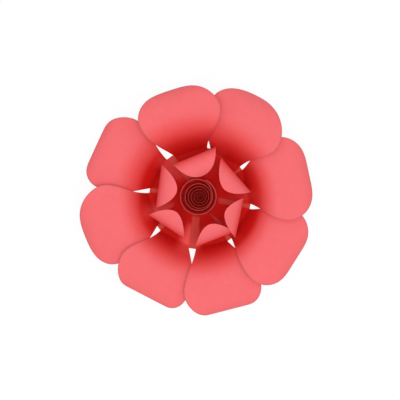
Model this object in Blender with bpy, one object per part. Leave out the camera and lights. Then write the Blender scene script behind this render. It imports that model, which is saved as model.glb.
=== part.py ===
"""Giant paper flower: eight large petals, six small petals and a rolled centre on a card disc.

The flower faces +Z. The origin is the centre of the card's back, which lies against a wall or on a table.
Lengths are in metres and angles in degrees, counted anticlockwise from +X as seen from the front.
"""

import math
from collections import namedtuple

import bmesh
import bpy
import numpy as np

# Stock: the card and the paper, and the glue gap left between two sheets that touch.
CARD_T = 0.0012
PAPER_T = 0.0004
GLUE = 0.0003

# Backing disc.
DISC_R = 0.090

# A bend of a sheet: its length, the angle it turns through (upwards is positive), how late it turns
# (1 is an even bend, more is tighter towards the end), and its mesh rows. A petal's last bend has the
# turn 1 or -1, for its way, and each petal's own curl multiplies it.
Bend = namedtuple("Bend", "length turn ease rows")

# A flat cutting template. Along it run start, foot (where it leaves the card), wide_at and tip, measured
# from the flower's centre. base_slope and base_cut give the half width of the glued base, and flare how
# fast it widens just past the foot.
Template = namedtuple("Template", "start foot wide_at tip half_width base_slope base_cut flare roundness")

# Share of the rounded tip that is cut; the rest is a short straight end.
TIP_END = 0.985

# Shares of the way from the foot to the widest place: where the cup is full, how far before the widest
# place it starts to fade, where the lift is full, and where the bend further out is full.
CUP_FROM = 0.19
CUP_TO = 0.48
LIFT_BY = 0.6
FAR_BY = 1.0

# Large petals: one template, cut eight times. Neighbours' bases leave a band of card bare between them.
OUTER_COUNT = 8
OUTER_BAND = 0.0086
OUTER_START = 0.026
OUTER_FOOT = 0.080
OUTER_HALF_WIDTH = 0.0690
OUTER_CUP = 0.003
OUTER_FOOT_BEND = 0.006
OUTER_WALL = 0.090
OUTER_WALL_ANGLE = 55.0
OUTER_TIP = 0.058
OUTER_WIDE_FROM_TIP = 0.056
OUTER_BENDS = (
    Bend(OUTER_FOOT_BEND, OUTER_WALL_ANGLE, 1.0, 3),
    Bend(OUTER_WALL, -OUTER_WALL_ANGLE, 1.0, 6),
    Bend(OUTER_TIP, -1.0, 2.0, 8),
)
OUTER_TEMPLATE = Template(
    start=OUTER_START,
    foot=OUTER_FOOT,
    wide_at=OUTER_FOOT + OUTER_FOOT_BEND + OUTER_WALL + OUTER_TIP - OUTER_WIDE_FROM_TIP,
    tip=OUTER_FOOT + OUTER_FOOT_BEND + OUTER_WALL + OUTER_TIP,
    half_width=OUTER_HALF_WIDTH,
    base_slope=math.tan(math.pi / OUTER_COUNT),
    base_cut=OUTER_BAND / 2 / math.cos(math.pi / OUTER_COUNT),
    flare=0.15,
    roundness=1.8,
)

# Small petals: one template, cut six times.
INNER_START = 0.026
INNER_FOOT = 0.040
INNER_HALF_WIDTH = 0.038
INNER_BASE_CUT = 0.0015
INNER_WALL = 0.054
INNER_WALL_ANGLE = 90.0
INNER_TIP = 0.052
INNER_BENDS = (
    Bend(INNER_WALL, INNER_WALL_ANGLE, 1.0, 6),
    Bend(INNER_TIP, 1.0, 1.0, 8),
)
INNER_TEMPLATE = Template(
    start=INNER_START,
    foot=INNER_FOOT,
    wide_at=INNER_FOOT + INNER_WALL,
    tip=INNER_FOOT + INNER_WALL + INNER_TIP,
    half_width=INNER_HALF_WIDTH,
    base_slope=0.30,
    base_cut=INNER_BASE_CUT,
    flare=0.30,
    roundness=1.8,
)

# How each petal was glued and curled by hand. azimuth is the way it points, skew the turn of the curl's
# axis, curl how far the tip curls over, and wide the stretch of the template's width. The rest are shares
# of the template's half width: aside, the shift across the petal's way; far, how much further out it is
# bent; left and right, the lift of its anticlockwise and clockwise edge; rise, the lift of its crest.
Petal = namedtuple("Petal", "name azimuth aside skew curl wide far left right rise")
OUTER = (
    Petal("outer_petal_1", 107.8, -0.149, 7.1, 77, 1.03, -0.230, 0.087, 0.155, 0.105),
    Petal("outer_petal_2", 61.4, -0.083, 14.0, 55, 1.03, -0.155, -0.160, 0.087, 0.0),
    Petal("outer_petal_3", 11.4, 0.060, 2.3, 87, 1.05, -0.183, -0.087, 0.087, 0.0),
    Petal("outer_petal_4", -32.7, 0.020, -3.0, 93, 1.03, -0.112, -0.087, 0.087, 0.0),
    Petal("outer_petal_5", -76.2, 0.005, 7.6, 119, 0.97, -0.007, -0.087, 0.087, 0.0),
    Petal("outer_petal_6", -118.0, -0.095, 13.4, 124, 0.98, -0.076, -0.087, 0.087, 0.0),
    Petal("outer_petal_7", -159.4, -0.180, 14.0, 68, 1.00, -0.019, -0.087, 0.087, 0.0),
    Petal("outer_petal_8", 155.1, -0.139, 9.8, 112, 0.98, 0.013, -0.087, -0.087, -0.058),
)
INNER = (
    Petal("inner_petal_1", 112.2, -0.489, 0.3, 140, 1.06, -0.076, 0.0, 0.0, 0.0),
    Petal("inner_petal_2", 41.0, -0.271, 6.4, 89, 1.04, -0.026, 0.0, 0.0, 0.0),
    Petal("inner_petal_3", -12.2, -0.497, -4.8, 70, 0.93, -0.011, 0.0, 0.0, 0.0),
    Petal("inner_petal_4", -68.8, -0.042, 0.0, 72, 0.95, 0.029, 0.0, 0.0, 0.0),
    Petal("inner_petal_5", -123.3, -0.571, -0.6, 82, 0.97, -0.045, 0.0, 0.0, 0.0),
    Petal("inner_petal_6", 172.4, -0.292, -5.2, 90, 1.00, -0.032, 0.0, 0.0, 0.0),
)

# Rolled centre: one strip, wound anticlockwise from the eye outwards. It widens evenly over its tight
# turns, its last turn has sprung loose over a short part of a turn, and its middle drifts to one side.
COIL_TURNS = 6.0
COIL_TIGHT_TURNS = 4.35
COIL_LOOSE_TURNS = 1.20
COIL_SPRING_TURNS = 0.34
COIL_END_AZIMUTH = 65.0
COIL_EYE_R = 0.0030
COIL_TIGHT_R = 0.0223
COIL_OUTER_R = 0.0292
COIL_EYE_AT = (0.0004, 0.0026)
COIL_OUTER_AT = (-0.0034, 0.0029)
COIL_EYE_HEIGHT = 0.021
COIL_HEIGHT = 0.028
COIL_FLARE = 0.0028
COIL_STEPS_PER_TURN = 24

# Middle heights of the layers of paper that lie flat on the card.
OUTER_Z = CARD_T + GLUE + PAPER_T / 2
INNER_Z = OUTER_Z + PAPER_T + GLUE
COIL_Z = INNER_Z + PAPER_T / 2 + GLUE

# The dyed paper's linear colour and its roughness.
CORAL = (0.90, 0.16, 0.17)
PAPER_ROUGHNESS = 0.85


def smooth(x):
    """Ease from 0 to 1 as x goes from 0 to 1."""
    x = np.clip(x, 0.0, 1.0)
    return x * x * (3.0 - 2.0 * x)


def bent_line(start, foot, bends):
    """Arc length, reach, height and slope along a sheet that lies flat up to its foot."""
    lengths, reaches, heights, slopes = [start, foot], [start, foot], [0.0, 0.0], [0.0, 0.0]
    slope = 0.0
    steps = 60
    for bend in bends:
        piece = bend.length / steps
        for i in range(steps):
            middle = math.radians(slope + bend.turn * ((i + 0.5) / steps) ** bend.ease)
            lengths.append(lengths[-1] + piece)
            reaches.append(reaches[-1] + piece * math.cos(middle))
            heights.append(heights[-1] + piece * math.sin(middle))
            slopes.append(math.radians(slope + bend.turn * ((i + 1) / steps) ** bend.ease))
        slope += bend.turn
    return np.array(lengths), np.array(reaches), np.array(heights), np.array(slopes)


def row_places(template, bends):
    """Arc lengths of the mesh rows, closing up towards the tip."""
    places = [template.start, (template.start + template.foot) / 2, template.foot]
    for bend in bends[:-1]:
        places.extend(np.linspace(places[-1], places[-1] + bend.length, bend.rows + 1)[1:])
    last = bends[-1]
    shares = np.sin(np.linspace(0.0, math.pi / 2, last.rows + 1)[1:])
    places.extend(places[-1] + last.length * shares)
    return np.array(places)


def half_widths(template, places):
    """Half width of the flat template: a wedge, an eased flare, then a rounded tip."""
    wedge = places * template.base_slope - template.base_cut
    foot_half = template.foot * template.base_slope - template.base_cut
    run = template.wide_at - template.foot
    t = np.clip((places - template.foot) / run, 0.0, 1.0)
    grow = (template.half_width - foot_half) * smooth(t)
    flare = foot_half + grow + template.flare * run * t * (1.0 - t) ** 2
    t = np.clip((places - template.wide_at) / (template.tip - template.wide_at), 0.0, TIP_END)
    tip = template.half_width * (1.0 - t**template.roundness) ** (1.0 / template.roundness)
    return np.where(places <= template.foot, wedge, np.where(places <= template.wide_at, flare, tip))


def flat_grid(petal, template, rows, columns):
    """Distance along and across the flat petal at each grid point, with its axis turned by the skew."""
    half = half_widths(template, rows) * petal.wide
    along = np.repeat(rows[:, None], columns, axis=1)
    side = half[:, None] * np.linspace(-1.0, 1.0, columns)[None, :]
    # The turn grows from the foot to the widest place, which stays where it is.
    beyond = along - template.wide_at
    turn = math.radians(petal.skew) * smooth((along - template.foot) / (template.wide_at - template.foot))
    curled = template.wide_at + beyond * np.cos(turn) + side * np.sin(turn)
    aside = side * np.cos(turn) - beyond * np.sin(turn) + petal.aside * template.half_width
    return along, side, curled, aside


def sheet_points(petal, template, bends, base_z, cup, columns):
    """Grid of points, rows by columns, of one curled petal in the flower's frame."""
    rows = row_places(template, bends)
    along, side, curled, aside = flat_grid(petal, template, rows, columns)
    edge = side / (template.half_width * petal.wide)
    tip_bend = bends[-1]._replace(turn=bends[-1].turn * petal.curl)
    lengths, reaches, heights, slopes = bent_line(template.start, template.foot, (*bends[:-1], tip_bend))
    reach = np.interp(curled, lengths, reaches)
    height = np.interp(curled, lengths, heights)
    slope = np.interp(curled, lengths, slopes)
    # The wall is cupped, and the crest is lifted at the sides so that each petal overlaps the next.
    run = (along - template.foot) / (template.wide_at - template.foot)
    cupped = cup * smooth(run / CUP_FROM) * smooth((1.0 - run) / CUP_TO) * edge**2
    out = smooth(run / LIFT_BY)
    roll = (petal.left - petal.right) / 2
    bow = (petal.left + petal.right) / 2
    lift = out * template.half_width * (roll * edge + bow * edge**2 + petal.rise)
    reach = reach - cupped * np.sin(slope) + petal.far * template.half_width * smooth(run / FAR_BY)
    height = height + cupped * np.cos(slope) + lift + base_z
    angle = math.radians(petal.azimuth)
    x = reach * math.cos(angle) - aside * math.sin(angle)
    y = reach * math.sin(angle) + aside * math.cos(angle)
    return np.stack([x, y, height], axis=-1)


def grid_object(name, points, thickness):
    """A sheet of the given thickness whose middle surface is a grid of points."""
    mesh = bpy.data.meshes.new(name)
    bm = bmesh.new()
    rows = [[bm.verts.new(point) for point in row] for row in points.tolist()]
    for low, high in zip(rows, rows[1:]):
        for i in range(len(low) - 1):
            bm.faces.new((low[i], low[i + 1], high[i + 1], high[i]))
    bm.normal_update()
    bm.to_mesh(mesh)
    bm.free()
    mesh.shade_smooth()
    obj = bpy.data.objects.new(name, mesh)
    bpy.context.scene.collection.objects.link(obj)
    solidify = obj.modifiers.new("Paper thickness", "SOLIDIFY")
    solidify.thickness = thickness
    solidify.offset = 0.0
    return obj


def coil_points():
    """Grid of points of the rolled strip, steps along it by bottom and top edge."""
    steps = round(COIL_TURNS * COIL_STEPS_PER_TURN)
    turns = np.linspace(0.0, COIL_TURNS, steps + 1)
    loose = smooth((turns - (COIL_TURNS - COIL_LOOSE_TURNS)) / COIL_SPRING_TURNS)
    tight = COIL_EYE_R + (COIL_TIGHT_R - COIL_EYE_R) * np.minimum(turns / COIL_TIGHT_TURNS, 1.0)
    radius = tight + (COIL_OUTER_R - tight) * loose
    angle = np.radians(COIL_END_AZIMUTH) + 2 * math.pi * (turns - COIL_TURNS)
    share = turns / COIL_TURNS
    x = COIL_EYE_AT[0] + (COIL_OUTER_AT[0] - COIL_EYE_AT[0]) * share
    y = COIL_EYE_AT[1] + (COIL_OUTER_AT[1] - COIL_EYE_AT[1]) * share
    top = COIL_EYE_HEIGHT + (COIL_HEIGHT - COIL_EYE_HEIGHT) * share**2
    edges = []
    for height, flare in ((np.zeros_like(top), 0.0), (top, COIL_FLARE)):
        wide = radius + flare * share
        points = (x + wide * np.cos(angle), y + wide * np.sin(angle), COIL_Z + height)
        edges.append(np.stack(points, axis=-1))
    return np.stack(edges, axis=1)


def disc_object():
    """The round card that everything is glued to."""
    mesh = bpy.data.meshes.new("backing_disc")
    bm = bmesh.new()
    bmesh.ops.create_cone(
        bm,
        cap_ends=True,
        segments=64,
        radius1=DISC_R,
        radius2=DISC_R,
        depth=CARD_T,
    )
    bmesh.ops.translate(bm, vec=(0.0, 0.0, CARD_T / 2), verts=bm.verts)
    bm.to_mesh(mesh)
    bm.free()
    obj = bpy.data.objects.new("backing_disc", mesh)
    bpy.context.scene.collection.objects.link(obj)
    return obj


def paper(name, colour, roughness):
    """A plain dyed paper."""
    material = bpy.data.materials.new(name)
    material.use_nodes = True
    shader = material.node_tree.nodes["Principled BSDF"]
    shader.inputs["Base Color"].default_value = (*colour, 1.0)
    shader.inputs["Roughness"].default_value = roughness
    shader.inputs["Metallic"].default_value = 0.0
    return material


def main():
    for obj in list(bpy.data.objects):
        bpy.data.objects.remove(obj)
    made = [disc_object()]
    for petal in OUTER:
        points = sheet_points(petal, OUTER_TEMPLATE, OUTER_BENDS, OUTER_Z, OUTER_CUP, 9)
        made.append(grid_object(petal.name, points, PAPER_T))
    for petal in INNER:
        points = sheet_points(petal, INNER_TEMPLATE, INNER_BENDS, INNER_Z, 0.0, 7)
        made.append(grid_object(petal.name, points, PAPER_T))
    made.append(grid_object("rolled_centre", coil_points(), PAPER_T))
    for obj in made:
        obj.data.materials.append(paper(obj.name + "_paper", CORAL, PAPER_ROUGHNESS))


main()
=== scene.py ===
"""Looks of the giant paper flower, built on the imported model.

The petals and the roll are cut from the same templates and wound by the same rules as the part,
with a finer mesh, a rounder tip and slightly uneven paper. Lengths are in metres.
"""

import math
from collections import namedtuple

import bpy
import numpy as np
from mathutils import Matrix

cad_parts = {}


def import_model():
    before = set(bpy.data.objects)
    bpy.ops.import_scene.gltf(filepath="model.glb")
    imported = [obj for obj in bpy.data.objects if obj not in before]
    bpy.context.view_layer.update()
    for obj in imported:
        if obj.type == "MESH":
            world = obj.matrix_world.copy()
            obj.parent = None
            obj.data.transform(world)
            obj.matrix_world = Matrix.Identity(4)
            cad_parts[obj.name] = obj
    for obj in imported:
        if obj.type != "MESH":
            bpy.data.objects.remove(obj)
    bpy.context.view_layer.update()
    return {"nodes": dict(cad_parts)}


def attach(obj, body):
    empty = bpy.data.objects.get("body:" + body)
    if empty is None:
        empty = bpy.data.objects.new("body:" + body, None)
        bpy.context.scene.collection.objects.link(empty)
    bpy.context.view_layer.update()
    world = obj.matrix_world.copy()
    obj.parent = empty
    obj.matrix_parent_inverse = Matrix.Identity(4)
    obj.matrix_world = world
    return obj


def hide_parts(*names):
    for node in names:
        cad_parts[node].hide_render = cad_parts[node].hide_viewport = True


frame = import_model()

# Stock: the card and the paper, and the glue gap left between two sheets that touch.
CARD_T = 0.0012
PAPER_T = 0.0004
GLUE = 0.0003

# A bend of a sheet: its length, the angle it turns through (upwards is positive), how late it
# turns (1 is an even bend, more is tighter towards the end), and its mesh rows. A petal's last bend
# has the turn 1 or -1, for its way, and each petal's own curl multiplies it.
Bend = namedtuple("Bend", "length turn ease rows")

# A flat cutting template. Along it run start, foot (where it leaves the card), wide_at and tip,
# measured from the flower's centre. base_slope and base_cut give the half width of the glued base,
# and flare how fast it widens just past the foot.
TEMPLATE_VALUES = "start foot wide_at tip half_width base_slope base_cut flare roundness"
Template = namedtuple("Template", TEMPLATE_VALUES)

# Share of the rounded tip that is cut; the rest is a short straight end.
TIP_END = 0.9992

# Shares of the way from the foot to the widest place: where the cup is full, how far before the
# widest place it starts to fade, where the lift is full, and where the bend further out is full.
CUP_FROM = 0.19
CUP_TO = 0.48
LIFT_BY = 0.6
FAR_BY = 1.0

# Mesh rows across the glued base, and steps in which a bend is added up.
BASE_ROWS = 7
BEND_STEPS = 60

# Large petals: one template, cut eight times. Neighbours' bases leave a band of card bare.
OUTER_COUNT = 8
OUTER_BAND = 0.0086
OUTER_START = 0.026
OUTER_FOOT = 0.080
OUTER_HALF_WIDTH = 0.069
OUTER_CUP = 0.003
OUTER_FOOT_BEND = 0.006
OUTER_WALL = 0.090
OUTER_WALL_ANGLE = 55.0
OUTER_TIP = 0.058
OUTER_WIDE_FROM_TIP = 0.056
OUTER_BENDS = (
    Bend(OUTER_FOOT_BEND, OUTER_WALL_ANGLE, 1.0, 6),
    Bend(OUTER_WALL, -OUTER_WALL_ANGLE, 1.0, 30),
    Bend(OUTER_TIP, -1.0, 2.0, 34),
)
OUTER_TEMPLATE = Template(
    start=OUTER_START,
    foot=OUTER_FOOT,
    wide_at=OUTER_FOOT + OUTER_FOOT_BEND + OUTER_WALL + OUTER_TIP - OUTER_WIDE_FROM_TIP,
    tip=OUTER_FOOT + OUTER_FOOT_BEND + OUTER_WALL + OUTER_TIP,
    half_width=OUTER_HALF_WIDTH,
    base_slope=math.tan(math.pi / OUTER_COUNT),
    base_cut=OUTER_BAND / 2 / math.cos(math.pi / OUTER_COUNT),
    flare=0.15,
    roundness=1.8,
)
OUTER_COLUMNS = 49

# Small petals: one template, cut six times.
INNER_START = 0.026
INNER_FOOT = 0.040
INNER_HALF_WIDTH = 0.038
INNER_BASE_CUT = 0.0015
INNER_WALL = 0.054
INNER_WALL_ANGLE = 90.0
INNER_TIP = 0.052
INNER_BENDS = (
    Bend(INNER_WALL, INNER_WALL_ANGLE, 1.0, 22),
    Bend(INNER_TIP, 1.0, 1.0, 34),
)
INNER_TEMPLATE = Template(
    start=INNER_START,
    foot=INNER_FOOT,
    wide_at=INNER_FOOT + INNER_WALL,
    tip=INNER_FOOT + INNER_WALL + INNER_TIP,
    half_width=INNER_HALF_WIDTH,
    base_slope=0.30,
    base_cut=INNER_BASE_CUT,
    flare=0.30,
    roundness=1.8,
)
INNER_COLUMNS = 33

# How each petal was glued and curled by hand. azimuth is the way it points, skew the turn of the
# curl's axis, curl how far the tip curls over, and wide the stretch of the template's width. The
# rest are shares of the template's half width: aside, the shift across the petal's way; far, how
# much further out it is bent; left and right, the lift of its anticlockwise and clockwise edge;
# rise, the lift of its crest.
Petal = namedtuple("Petal", "name azimuth aside skew curl wide far left right rise")
OUTER = (
    Petal("outer_petal_1", 107.8, -0.149, 7.1, 77, 1.03, -0.230, 0.087, 0.155, 0.105),
    Petal("outer_petal_2", 61.4, -0.083, 14.0, 55, 1.03, -0.155, -0.160, 0.087, 0.0),
    Petal("outer_petal_3", 11.4, 0.060, 2.3, 87, 1.05, -0.183, -0.087, 0.087, 0.0),
    Petal("outer_petal_4", -32.7, 0.020, -3.0, 93, 1.03, -0.112, -0.087, 0.087, 0.0),
    Petal("outer_petal_5", -76.2, 0.005, 7.6, 119, 0.97, -0.007, -0.087, 0.087, 0.0),
    Petal("outer_petal_6", -118.0, -0.095, 13.4, 124, 0.98, -0.076, -0.087, 0.087, 0.0),
    Petal("outer_petal_7", -159.4, -0.180, 14.0, 68, 1.00, -0.019, -0.087, 0.087, 0.0),
    Petal("outer_petal_8", 155.1, -0.139, 9.8, 112, 0.98, 0.013, -0.087, -0.087, -0.058),
)
INNER = (
    Petal("inner_petal_1", 112.2, -0.489, 0.3, 140, 1.06, -0.076, 0.0, 0.0, 0.0),
    Petal("inner_petal_2", 41.0, -0.271, 6.4, 89, 1.04, -0.026, 0.0, 0.0, 0.0),
    Petal("inner_petal_3", -12.2, -0.497, -4.8, 70, 0.93, -0.011, 0.0, 0.0, 0.0),
    Petal("inner_petal_4", -68.8, -0.042, 0.0, 72, 0.95, 0.029, 0.0, 0.0, 0.0),
    Petal("inner_petal_5", -123.3, -0.571, -0.6, 82, 0.97, -0.045, 0.0, 0.0, 0.0),
    Petal("inner_petal_6", 172.4, -0.292, -5.2, 90, 1.00, -0.032, 0.0, 0.0, 0.0),
)

# Rolled centre: one strip, wound anticlockwise from the eye outwards. It widens evenly over its
# tight turns, its last turn has sprung loose over a short part of a turn, and its middle drifts to
# one side.
COIL_TURNS = 6.0
COIL_TIGHT_TURNS = 4.35
COIL_LOOSE_TURNS = 1.20
COIL_SPRING_TURNS = 0.34
COIL_END_AZIMUTH = 65.0
COIL_EYE_R = 0.0030
COIL_TIGHT_R = 0.0223
COIL_OUTER_R = 0.0292
COIL_EYE_AT = (0.0004, 0.0026)
COIL_OUTER_AT = (-0.0034, 0.0029)
COIL_EYE_HEIGHT = 0.021
COIL_HEIGHT = 0.028
COIL_FLARE = 0.0028
COIL_STEPS_PER_TURN = 72
COIL_ROWS = 12

# Heights of the middle of the sheets where they are glued, and of the roll's lower edge.
OUTER_Z = CARD_T + GLUE + PAPER_T / 2
INNER_Z = OUTER_Z + PAPER_T + GLUE
COIL_Z = INNER_Z + PAPER_T / 2 + GLUE

# How far hand curling leaves a sheet uneven, and the lengths of its waves for one radian.
WAVER = 0.0003
WAVER_ALONG = 0.0105
WAVER_ASLANT = 0.023
COIL_WAVER = 0.00025

# Linear colours. The dye is CORAL, as it looks in the open (painted shade 0). The middle colour is
# painted shade on the walls (painted shade 1) and the deep colour painted shade down in the flower
# (painted shade 2). LIT is painted light, where light that has bounced off other petals reaches a
# base, GLOW is light that has come through a sheet, and EDGE a cut edge.
CORAL = (0.92, 0.170, 0.184)
WALL_SHADE = (0.82, 0.080, 0.080)
# Painted shade on the small petals' walls, lighter than on the large ones.
INNER_WALL_SHADE = (0.94, 0.080, 0.080)
DEEP_SHADE = (0.62, 0.004, 0.002)
LIT = (0.94, 0.100, 0.098)
# The roll's painted shade, lower down and towards its eye.
ROLL_SHADE = (0.86, 0.048, 0.036)
ROLL_DEEP_SHADE = (0.22, 0.004, 0.003)
# The card, its coral darkened by painted shade, then its painted shade and its deep painted shade
# under the roll.
SHADED_CARD = (0.56, 0.062, 0.048)
CARD_SHADE = (0.60, 0.030, 0.020)
CARD_DEEP_SHADE = (0.36, 0.005, 0.003)
GLOW = (0.85, 0.030, 0.030)
EDGE = (0.95, 0.210, 0.220)
ROLL_EDGE = (0.98, 0.105, 0.088)

# Shares of light that comes through a sheet.
PETAL_GLOW = 0.22
ROLL_GLOW = 0.15
EDGE_GLOW = 0.10

# The paper's own pattern, in cells per metre, with the tints of its clouds and fibres, and the
# height of its grain.
CLOUD_SCALE = 75.0
FIBRE_SCALE = 420.0
GRAIN_SCALE = 1500.0
CLOUD_TINT = (0.975, 0.955, 0.955)
FIBRE_TINT = (0.975, 0.95, 0.95)
GRAIN_HEIGHT = 0.00025
GRAIN_STRENGTH = 0.35

# The card's darker streaks, and the radii between which its painted shade under the roll ends.
STREAK_SCALE = 22.0
STREAK_DARKENING = 0.50
CARD_SHADE_FROM = 0.030
CARD_SHADE_TO = 0.038

# In the order of OUTER: how fully the deep painted shade, a painted shadow of the small petals,
# reaches the radius of its sharp edge on each large petal, and over what length the painted shade
# fades outwards from the radius where its fading starts.
SHADE_REACH = (0.15, 0.10, 0.45, 1.0, 0.0, 0.1, 0.8, 1.0)
SHADE_FADE = (0.072, 0.067, 0.050, 0.050, 0.057, 0.058, 0.056, 0.069)
SHADE_FROM = 0.087
SHADE_EDGE = 0.100
SHADE_EDGE_FADE = 0.012

# Where along a small petal, from its foot at 0 to its widest place at 1, the deep painted shade
# starts to fade to the middle painted shade and the middle one to the open colour, and over what
# length.
INNER_DEEP_SHADE_FROM = 0.05
INNER_DEEP_SHADE_FADE = 0.55
INNER_WALL_SHADE_FROM = 1.00
INNER_WALL_SHADE_FADE = 0.62

# The share of the roll's height from which its painted shade lessens and it turns paler, and how
# much of that paling is left at the eye.
COIL_PALE_FROM = 0.50
COIL_PALE_AT_EYE = 0.45

# Radii between which bounced light falls on the large petals' bases, how soon it is full and gone,
# and the azimuth where it is strongest. The share LIT_EVEN of it is the same all round. Behind a
# small petal it is cut off, from LIT_BEHIND degrees inside its span and over LIT_BEHIND_FADE
# degrees.
LIT_FROM = 0.042
LIT_FADE_IN = 0.016
LIT_TO = 0.114
LIT_FADE_OUT = 0.036
LIT_AZIMUTH = 225.0
LIT_EVEN = 0.55
LIT_BEHIND = 10.0
LIT_BEHIND_FADE = 14.0

# Painted shade along the outline of each large petal, outside RIM_FROM, where the sheet curls away:
# the colour is a little duller and darker there.
RIM_SHADE_TINT = (0.66, 0.94, 0.94)
RIM_WIDTH = 0.003
RIM_FROM = 0.115
RIM_FADE = 0.030

# Light: even light from all round, one soft lamp nearly overhead, and how white the floor looks.
ROUND_LIGHT = 0.74
KEY_AT = (0.10, -0.26, 2.1)
KEY_SIZE = 1.2
KEY_WATTS = 23.7
FLOOR_HALF = 8.0
FLOOR_Z = -0.0002
FLOOR_COLOUR = (0.90, 0.90, 0.90, 1.0)
FLOOR_WHITE_SHARE = 0.90
WHITE = (1.0, 1.0, 1.0, 1.0)

# The photo's camera.
CAMERA_AT = (0.0001, -0.0030, 1.55)
FOCAL_MM = 78.8
SENSOR_MM = 36.0


def smooth(x):
    """Ease from 0 to 1 as x goes from 0 to 1."""
    x = np.clip(x, 0.0, 1.0)
    return x * x * (3.0 - 2.0 * x)


def bent_line(start, foot, bends):
    """Arc length, reach, height and slope along a sheet that lies flat up to its foot."""
    lengths, reaches, heights, slopes = [start, foot], [start, foot], [0.0, 0.0], [0.0, 0.0]
    slope = 0.0
    for bend in bends:
        piece = bend.length / BEND_STEPS
        for i in range(BEND_STEPS):
            middle = math.radians(slope + bend.turn * ((i + 0.5) / BEND_STEPS) ** bend.ease)
            lengths.append(lengths[-1] + piece)
            reaches.append(reaches[-1] + piece * math.cos(middle))
            heights.append(heights[-1] + piece * math.sin(middle))
            slopes.append(math.radians(slope + bend.turn * ((i + 1) / BEND_STEPS) ** bend.ease))
        slope += bend.turn
    return np.array(lengths), np.array(reaches), np.array(heights), np.array(slopes)


def row_places(template, bends):
    """Arc lengths of the mesh rows, closing up towards the tip."""
    places = list(np.linspace(template.start, template.foot, BASE_ROWS))
    for bend in bends[:-1]:
        places.extend(np.linspace(places[-1], places[-1] + bend.length, bend.rows + 1)[1:])
    last = bends[-1]
    shares = np.sin(np.linspace(0.0, math.pi / 2, last.rows + 1)[1:])
    places.extend(places[-1] + last.length * shares)
    return np.array(places)


def half_widths(template, places):
    """Half width of the flat template: a wedge, an eased flare, then a rounded tip."""
    wedge = places * template.base_slope - template.base_cut
    foot_half = template.foot * template.base_slope - template.base_cut
    run = template.wide_at - template.foot
    t = np.clip((places - template.foot) / run, 0.0, 1.0)
    grow = (template.half_width - foot_half) * smooth(t)
    flare = foot_half + grow + template.flare * run * t * (1.0 - t) ** 2
    t = np.clip((places - template.wide_at) / (template.tip - template.wide_at), 0.0, TIP_END)
    tip = template.half_width * (1.0 - t**template.roundness) ** (1.0 / template.roundness)
    upper = np.where(places <= template.wide_at, flare, tip)
    return np.where(places <= template.foot, wedge, upper)


def flat_grid(petal, template, rows, columns):
    """Places along and across the flat petal at each grid point, plain and turned by the skew."""
    half = half_widths(template, rows) * petal.wide
    along = np.repeat(rows[:, None], columns, axis=1)
    side = half[:, None] * np.linspace(-1.0, 1.0, columns)[None, :]
    beyond = along - template.wide_at
    run = (along - template.foot) / (template.wide_at - template.foot)
    turn = math.radians(petal.skew) * smooth(run)
    curled = template.wide_at + beyond * np.cos(turn) + side * np.sin(turn)
    aside = side * np.cos(turn) - beyond * np.sin(turn) + petal.aside * template.half_width
    return along, side, curled, aside


def unevenness(petal, along, edge, run):
    """Small height changes left by hand curling, most at the edges and none at the glued base."""
    phase = math.radians(petal.azimuth) * 3.0
    long_wave = np.sin(along / WAVER_ALONG + 1.7 * edge + phase)
    cross_wave = np.sin(4.6 * edge - along / WAVER_ASLANT + 2.0 * phase)
    return WAVER * smooth(run) * (0.25 + 0.75 * edge**2) * (long_wave + cross_wave) / 2


def sheet_points(petal, template, bends, base_z, cup, columns):
    """Grid of points, rows by columns, of one curled petal, and how far along it each row is."""
    rows = row_places(template, bends)
    along, side, curled, aside = flat_grid(petal, template, rows, columns)
    edge = side / (template.half_width * petal.wide)
    tip_bend = bends[-1]._replace(turn=bends[-1].turn * petal.curl)
    own_bends = (*bends[:-1], tip_bend)
    lengths, reaches, heights, slopes = bent_line(template.start, template.foot, own_bends)
    reach = np.interp(curled, lengths, reaches)
    height = np.interp(curled, lengths, heights)
    slope = np.interp(curled, lengths, slopes)
    run = (along - template.foot) / (template.wide_at - template.foot)
    cupped = cup * smooth(run / CUP_FROM) * smooth((1.0 - run) / CUP_TO) * edge**2
    out = smooth(run / LIFT_BY)
    roll = (petal.left - petal.right) / 2
    bow = (petal.left + petal.right) / 2
    lift = out * template.half_width * (roll * edge + bow * edge**2 + petal.rise)
    lift = lift + unevenness(petal, along, edge, run)
    far = petal.far * template.half_width * smooth(run / FAR_BY)
    reach = reach - cupped * np.sin(slope) + far
    height = height + cupped * np.cos(slope) + lift + base_z
    angle = math.radians(petal.azimuth)
    x = reach * math.cos(angle) - aside * math.sin(angle)
    y = reach * math.sin(angle) + aside * math.cos(angle)
    return np.stack([x, y, height], axis=-1), run


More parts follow.
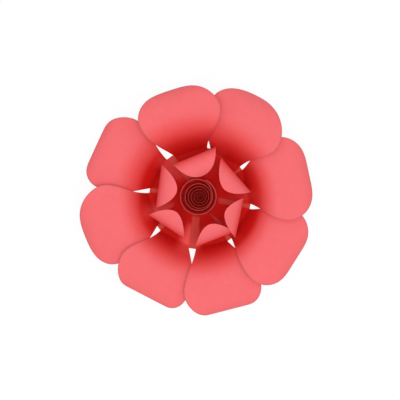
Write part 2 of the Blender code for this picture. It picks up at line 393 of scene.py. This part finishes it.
def coil_points():
    """Grid of points of the rolled strip, steps along by rows up, and the painted shade at each
    one.
    """
    steps = round(COIL_TURNS * COIL_STEPS_PER_TURN)
    turns = np.linspace(0.0, COIL_TURNS, steps + 1)
    loose = smooth((turns - (COIL_TURNS - COIL_LOOSE_TURNS)) / COIL_SPRING_TURNS)
    tight = COIL_EYE_R + (COIL_TIGHT_R - COIL_EYE_R) * np.minimum(turns / COIL_TIGHT_TURNS, 1.0)
    radius = tight + (COIL_OUTER_R - tight) * loose
    radius = radius + COIL_WAVER * np.sin(turns * 5.3) * smooth(turns / 2.0) * (1.0 - loose)
    angle = np.radians(COIL_END_AZIMUTH) + 2 * math.pi * (turns - COIL_TURNS)
    share = turns / COIL_TURNS
    x = COIL_EYE_AT[0] + (COIL_OUTER_AT[0] - COIL_EYE_AT[0]) * share
    y = COIL_EYE_AT[1] + (COIL_OUTER_AT[1] - COIL_EYE_AT[1]) * share
    top = COIL_EYE_HEIGHT + (COIL_HEIGHT - COIL_EYE_HEIGHT) * share**2
    top = top - COIL_WAVER * (1.0 + np.sin(turns * 7.7))
    points, painted_shades = [], []
    for up in np.linspace(0.0, 1.0, COIL_ROWS):
        wide = radius + COIL_FLARE * share * up**3
        places = (x + wide * np.cos(angle), y + wide * np.sin(angle), COIL_Z + top * up)
        points.append(np.stack(places, axis=-1))
        # Painted shade: deep low down and at the eye, less on the outer turns and higher up.
        pale = COIL_PALE_AT_EYE + (1.0 - COIL_PALE_AT_EYE) * share
        pale_here = pale * smooth((up - COIL_PALE_FROM) / (1.0 - COIL_PALE_FROM))
        painted_shades.append(2.0 - share**2 - pale_here)
    return np.stack(points, axis=1), np.stack(painted_shades, axis=1)


def grid_normals(points):
    """Unit normals of a grid of points."""
    along = np.gradient(points, axis=0)
    across = np.gradient(points, axis=1)
    normals = np.cross(along, across)
    return normals / np.linalg.norm(normals, axis=-1, keepdims=True)


def grid_faces(rows, columns):
    """Faces of a sheet: one side, the other side, and the cut edge round it."""
    index = np.arange(rows * columns).reshape(rows, columns)
    corners = [index[:-1, :-1], index[1:, :-1], index[1:, 1:], index[:-1, 1:]]
    quads = np.stack(corners, axis=-1).reshape(-1, 4)
    other = quads[:, ::-1] + rows * columns
    ring = np.concatenate([index[0, :-1], index[:-1, -1], index[-1, :0:-1], index[:0:-1, 0]])
    after = np.roll(ring, -1)
    rim = np.stack([ring, after, after + rows * columns, ring + rows * columns], axis=-1)
    return quads, other, rim


def sheet_object(name, points, tones, thickness, materials):
    """A sheet with real thickness round a grid of points.

    The cut edge has its own material, the second one. The tones are stored on the points.
    """
    rows, columns = points.shape[:2]
    push = grid_normals(points) * thickness / 2
    verts = np.concatenate([(points + push).reshape(-1, 3), (points - push).reshape(-1, 3)])
    quads, other, rim = grid_faces(rows, columns)
    mesh = bpy.data.meshes.new(name)
    mesh.from_pydata(verts.tolist(), [], np.concatenate([quads, other, rim]).tolist())
    mesh.validate()
    for material in materials:
        mesh.materials.append(material)
    slots = np.concatenate([np.zeros(len(quads) * 2, int), np.ones(len(rim), int)])
    mesh.polygons.foreach_set("material_index", slots)
    for tone_name, values in tones.items():
        attribute = mesh.attributes.new(tone_name, "FLOAT", "POINT")
        attribute.data.foreach_set("value", np.tile(values.ravel(), 2).astype(np.float32))
    mesh.shade_smooth()
    mesh.set_sharp_from_angle(angle=math.radians(40))
    mesh.update()
    obj = bpy.data.objects.new(name, mesh)
    bpy.context.scene.collection.objects.link(obj)
    return obj


def add(tree, kind, **settings):
    """A new node with its settings. A key in capitals sets an input socket, with _ for a space."""
    made = tree.nodes.new(kind)
    for key, value in settings.items():
        if key[0].isupper():
            made.inputs[key.replace("_", " ")].default_value = value
        else:
            setattr(made, key, value)
    return made


def noise(tree, coordinates, scale, detail, roughness):
    """A noise pattern of a size given in cells per metre."""
    made = add(tree, "ShaderNodeTexNoise", Scale=scale, Detail=detail, Roughness=roughness)
    tree.links.new(coordinates, made.inputs["Vector"])
    return made.outputs["Fac"]


def spread(tree, value, low, high, start=0.35, end=0.65):
    """A value between low and high from one that mostly runs from start to end."""
    made = tree.nodes.new("ShaderNodeMapRange")
    tree.links.new(value, made.inputs["Value"])
    made.inputs["From Min"].default_value = start
    made.inputs["From Max"].default_value = end
    made.inputs["To Min"].default_value = low
    made.inputs["To Max"].default_value = high
    return made.outputs["Result"]


def blend(tree, mode, factor, first, second):
    """A mix of two colours. Each may be a socket or a colour."""
    made = add(tree, "ShaderNodeMix", data_type="RGBA", blend_type=mode)
    inputs = (made.inputs[0], made.inputs[6], made.inputs[7])
    for value, socket in zip((factor, first, second), inputs):
        if isinstance(value, bpy.types.NodeSocket):
            tree.links.new(value, socket)
        elif isinstance(value, tuple):
            socket.default_value = (*value, 1.0)
        else:
            socket.default_value = value
    return made.outputs[2]


def tone(tree, name):
    """A value stored on the points of a sheet, or 0 where the sheet has none."""
    return add(tree, "ShaderNodeAttribute", attribute_name=name).outputs["Fac"]


def dye_and_painted_light(tree, shade, colours):
    """The dye's colour, open, middle or deep by the painted shade, then painted bounced light, then
    duller by painted shade at the outline.
    """
    with_wall_shade = blend(tree, "MIX", shade, colours[0], colours[1])
    with_deep_shade = blend(tree, "MIX", spread(tree, shade, 0.0, 1.0, 1.0, 2.0), with_wall_shade, colours[2])
    with_bounced_light = blend(tree, "MIX", tone(tree, "lit"), with_deep_shade, LIT)
    # Painted shade along the large petals' outlines.
    return blend(tree, "MULTIPLY", tone(tree, "rim"), with_bounced_light, RIM_SHADE_TINT)


def grain_bump(tree, fibres, grain):
    """The relief of the paper's fibres and grain."""
    height = add(tree, "ShaderNodeMix", data_type="FLOAT", Factor=0.45)
    tree.links.new(fibres, height.inputs[2])
    tree.links.new(grain, height.inputs[3])
    bump = add(tree, "ShaderNodeBump", Strength=GRAIN_STRENGTH, Distance=GRAIN_HEIGHT)
    tree.links.new(height.outputs[0], bump.inputs["Height"])
    return bump.outputs["Normal"]


def paper(name, colours, glow_share, painted_shade_of=None):
    """Dyed paper with painted shade and painted light: cloudy colour, fibres and grain in the
    surface, and light that comes through.
    """
    material = bpy.data.materials.new(name)
    material.use_nodes = True
    tree = material.node_tree
    tree.nodes.clear()
    where = tree.nodes.new("ShaderNodeTexCoord").outputs["Object"]
    clouds = noise(tree, where, CLOUD_SCALE, 4.0, 0.6)
    turned = {"Scale": (1.0, 3.5, 1.0), "Rotation": (0.0, 0.0, 0.5)}
    fibre_space = add(tree, "ShaderNodeMapping", **turned)
    tree.links.new(where, fibre_space.inputs["Vector"])
    fibres = noise(tree, fibre_space.outputs["Vector"], FIBRE_SCALE, 3.0, 0.55)
    grain = noise(tree, where, GRAIN_SCALE, 2.0, 0.5)
    # Painted shade, stored on the points or made from the card's pattern.
    shade = tone(tree, "painted_shade") if painted_shade_of is None else painted_shade_of(tree, where)
    dyed_and_shaded = dye_and_painted_light(tree, shade, colours)
    clouded = blend(tree, "MULTIPLY", spread(tree, clouds, 0.0, 1.0), dyed_and_shaded, CLOUD_TINT)
    fibred = blend(tree, "MULTIPLY", spread(tree, fibres, 0.0, 1.0), clouded, FIBRE_TINT)
    sheet = tree.nodes.new("ShaderNodeBsdfPrincipled")
    sheet.inputs["Specular IOR Level"].default_value = 0.25
    tree.links.new(fibred, sheet.inputs["Base Color"])
    tree.links.new(spread(tree, fibres, 0.74, 0.92), sheet.inputs["Roughness"])
    tree.links.new(grain_bump(tree, fibres, grain), sheet.inputs["Normal"])
    through = add(tree, "ShaderNodeBsdfTranslucent", Color=(*GLOW, 1.0))
    mix = add(tree, "ShaderNodeMixShader")
    mix.inputs[0].default_value = glow_share
    tree.links.new(sheet.outputs[0], mix.inputs[1])
    tree.links.new(through.outputs[0], mix.inputs[2])
    output = tree.nodes.new("ShaderNodeOutputMaterial")
    tree.links.new(mix.outputs[0], output.inputs["Surface"])
    return material


def card_shade_and_streaks(tree, where):
    """The card's painted shade, deep under the roll and paler outside it, and faint darker streaks
    along radii.
    """
    outward = add(tree, "ShaderNodeVectorMath", operation="NORMALIZE")
    tree.links.new(where, outward.inputs[0])
    streaks = noise(tree, outward.outputs["Vector"], STREAK_SCALE, 3.0, 0.6)
    radius = add(tree, "ShaderNodeVectorMath", operation="LENGTH")
    tree.links.new(where, radius.inputs[0])
    # Painted shade under the roll.
    inside = spread(tree, radius.outputs["Value"], 2.0, 0.0, CARD_SHADE_FROM, CARD_SHADE_TO)
    most = add(tree, "ShaderNodeMath", operation="MAXIMUM")
    tree.links.new(inside, most.inputs[0])
    tree.links.new(spread(tree, streaks, 0.0, STREAK_DARKENING), most.inputs[1])
    return most.outputs[0]


def axis_distance(points):
    """Distance of each point from the flower's axis."""
    return np.hypot(points[..., 0], points[..., 1])


def outer_points(petal):
    """Points of a large petal."""
    return sheet_points(petal, OUTER_TEMPLATE, OUTER_BENDS, OUTER_Z, OUTER_CUP, OUTER_COLUMNS)[0]


def inner_points(petal):
    """Points of a small petal, which has no cup, and how far along it each row is."""
    return sheet_points(petal, INNER_TEMPLATE, INNER_BENDS, INNER_Z, 0.0, INNER_COLUMNS)


def inner_spans():
    """The middle and half width, in azimuth, of each small petal where it stands upright."""
    spans = []
    for petal in INNER:
        points, run = inner_points(petal)
        upright = points[np.argmin(np.abs(run[:, 0] - 1.0))]
        azimuths = np.degrees(np.unwrap(np.arctan2(upright[:, 1], upright[:, 0])))
        first, last = azimuths.min(), azimuths.max()
        spans.append(((first + last) / 2, (last - first) / 2))
    return spans


def outer_painted_shade(points, reach, fade):
    """Painted shade on the large petals: most at the base, none out on the crest."""
    radius = axis_distance(points)
    plain = 2.0 * (1.0 - smooth((radius - SHADE_FROM) / fade))
    # A painted shadow of the small petals on some walls, ending sharply.
    patch = reach * (1.0 - smooth((radius - SHADE_EDGE) / SHADE_EDGE_FADE))
    return plain + (2.0 - plain) * patch


def outer_lit(points, spans):
    """How much bounced light reaches the large petals' bases, between the small petals."""
    azimuth = np.degrees(np.arctan2(points[..., 1], points[..., 0]))
    radius = axis_distance(points)
    behind = np.zeros_like(azimuth)
    for middle, half in spans:
        off = np.abs((azimuth - middle + 180.0) % 360.0 - 180.0)
        behind = np.maximum(behind, 1.0 - smooth((off - half + LIT_BEHIND) / LIT_BEHIND_FADE))
    facing = LIT_EVEN + (1.0 - LIT_EVEN) * np.cos(np.radians(azimuth - LIT_AZIMUTH))
    begun = smooth((radius - LIT_FROM) / LIT_FADE_IN)
    kept = smooth((LIT_TO - radius) / LIT_FADE_OUT)
    return facing * (1.0 - behind) * begun * kept


def inner_painted_shade(run):
    """Painted shade: most at the glued base, none where the sheet curls in."""
    from_deep = smooth((run - INNER_DEEP_SHADE_FROM) / INNER_DEEP_SHADE_FADE)
    from_middle = smooth((run - INNER_WALL_SHADE_FROM) / INNER_WALL_SHADE_FADE)
    return 2.0 - from_deep - from_middle


def rim_shade_tone(points):
    """Painted shade along the outline: how close each point is to the sheet's outer outline, 1 on
    it, 0 from RIM_WIDTH inwards.
    """
    outline = np.concatenate([points[0], points[-1], points[:, 0], points[:, -1]])
    distance = np.linalg.norm(points.reshape(-1, 1, 3) - outline, axis=2).min(axis=1)
    near = 1.0 - np.minimum(distance.reshape(points.shape[:2]) / RIM_WIDTH, 1.0)
    return near * smooth((axis_distance(points) - RIM_FROM) / RIM_FADE)


def outer_petals(materials):
    """The eight large petals."""
    spans = inner_spans()
    for petal, reach, fade in zip(OUTER, SHADE_REACH, SHADE_FADE):
        points = outer_points(petal)
        tones = {
            # Painted shade, painted shade along the outline, and painted bounced light.
            "painted_shade": outer_painted_shade(points, reach, fade),
            "rim": rim_shade_tone(points),
            "lit": outer_lit(points, spans),
        }
        piece = sheet_object(petal.name + "_sheet", points, tones, PAPER_T, materials)
        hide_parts(petal.name)
        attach(piece, "root")


def inner_petals(materials):
    """The six small petals."""
    for petal in INNER:
        points, run = inner_points(petal)
        # Painted shade on the small petal.
        tones = {"painted_shade": inner_painted_shade(run)}
        piece = sheet_object(petal.name + "_sheet", points, tones, PAPER_T, materials)
        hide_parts(petal.name)
        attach(piece, "root")


def rolled_centre(materials):
    """The roll in the middle."""
    # The roll's painted shade goes with its points.
    points, painted_shade = coil_points()
    piece = sheet_object("rolled_centre_strip", points, {"painted_shade": painted_shade}, PAPER_T, materials)
    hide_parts("rolled_centre")
    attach(piece, "root")


def backing_disc(material):
    """The card keeps the part's own solid and gets the material."""
    disc = frame["nodes"]["backing_disc"]
    for slot in disc.material_slots:
        slot.material = material


def world():
    """White all round: even light on the paper, and plain white where a ray meets nothing."""
    made = bpy.data.worlds.new("studio")
    bpy.context.scene.world = made
    made.use_nodes = True
    tree = made.node_tree
    tree.nodes.clear()
    light = add(tree, "ShaderNodeBackground", Color=WHITE, Strength=ROUND_LIGHT)
    seen = add(tree, "ShaderNodeBackground", Color=WHITE, Strength=1.0)
    mix = tree.nodes.new("ShaderNodeMixShader")
    tree.links.new(seen_ray(tree), mix.inputs[0])
    tree.links.new(light.outputs[0], mix.inputs[1])
    tree.links.new(seen.outputs[0], mix.inputs[2])
    output = tree.nodes.new("ShaderNodeOutputWorld")
    tree.links.new(mix.outputs[0], output.inputs["Surface"])


def seen_ray(tree):
    """1 for a ray that shows the background: from the camera, off gloss or through glass."""
    path = tree.nodes.new("ShaderNodeLightPath")
    value = path.outputs["Is Camera Ray"]
    for name in ("Is Glossy Ray", "Is Transmission Ray"):
        most = add(tree, "ShaderNodeMath", operation="MAXIMUM")
        tree.links.new(value, most.inputs[0])
        tree.links.new(path.outputs[name], most.inputs[1])
        value = most.outputs[0]
    return value


def floor():
    """A pale floor under the flower. It looks white and keeps a light shadow."""
    mesh = bpy.data.meshes.new("floor")
    sides = ((-1, -1), (1, -1), (1, 1), (-1, 1))
    corners = [(x * FLOOR_HALF, y * FLOOR_HALF, FLOOR_Z) for x, y in sides]
    mesh.from_pydata(corners, [], [(0, 1, 2, 3)])
    obj = bpy.data.objects.new("floor", mesh)
    bpy.context.scene.collection.objects.link(obj)
    material = bpy.data.materials.new("floor")
    material.use_nodes = True
    tree = material.node_tree
    tree.nodes.clear()
    matte = add(tree, "ShaderNodeBsdfDiffuse", Color=FLOOR_COLOUR)
    white = add(tree, "ShaderNodeEmission", Color=WHITE, Strength=1.0)
    share = add(tree, "ShaderNodeMath", operation="MULTIPLY")
    share.inputs[1].default_value = FLOOR_WHITE_SHARE
    tree.links.new(seen_ray(tree), share.inputs[0])
    mix = tree.nodes.new("ShaderNodeMixShader")
    tree.links.new(share.outputs[0], mix.inputs[0])
    tree.links.new(matte.outputs[0], mix.inputs[1])
    tree.links.new(white.outputs[0], mix.inputs[2])
    output = tree.nodes.new("ShaderNodeOutputMaterial")
    tree.links.new(mix.outputs[0], output.inputs["Surface"])
    mesh.materials.append(material)


def lamp(name, place, size, watts):
    """A square soft lamp that faces the flower's centre."""
    data = bpy.data.lights.new(name, "AREA")
    data.size = size
    data.energy = watts
    obj = bpy.data.objects.new(name, data)
    obj.location = place
    obj.rotation_mode = "QUATERNION"
    obj.rotation_quaternion = obj.location.to_track_quat("Z", "Y")
    obj.visible_camera = False
    bpy.context.scene.collection.objects.link(obj)


def camera():
    """The camera that the photo was fitted with, straight above the flower."""
    data = bpy.data.cameras.new("photo_camera")
    data.lens = FOCAL_MM
    data.sensor_width = SENSOR_MM
    data.clip_start = 0.05
    data.clip_end = 50.0
    obj = bpy.data.objects.new("photo_camera", data)
    obj.location = CAMERA_AT
    bpy.context.scene.collection.objects.link(obj)
    bpy.context.scene.camera = obj


def main():
    """Dresses the part, and sets the light, the floor and the camera."""
    edge = paper("cut_edge", (EDGE, WALL_SHADE, DEEP_SHADE), EDGE_GLOW)
    roll_edge = paper("roll_cut_edge", (ROLL_EDGE, ROLL_SHADE, ROLL_DEEP_SHADE), EDGE_GLOW)
    outer_petals((paper("outer_paper", (CORAL, WALL_SHADE, DEEP_SHADE), PETAL_GLOW), edge))
    inner_petals((paper("inner_paper", (CORAL, INNER_WALL_SHADE, DEEP_SHADE), PETAL_GLOW), edge))
    roll_colours = (CORAL, ROLL_SHADE, ROLL_DEEP_SHADE)
    rolled_centre((paper("roll_paper", roll_colours, ROLL_GLOW), roll_edge))
    # The card, with painted shade and darker streaks.
    backing_disc(paper("card_paper", (SHADED_CARD, CARD_SHADE, CARD_DEEP_SHADE), 0.0, card_shade_and_streaks))
    world()
    floor()
    lamp("key", KEY_AT, KEY_SIZE, KEY_WATTS)
    camera()
    bpy.context.scene.view_settings.view_transform = "Standard"


main()
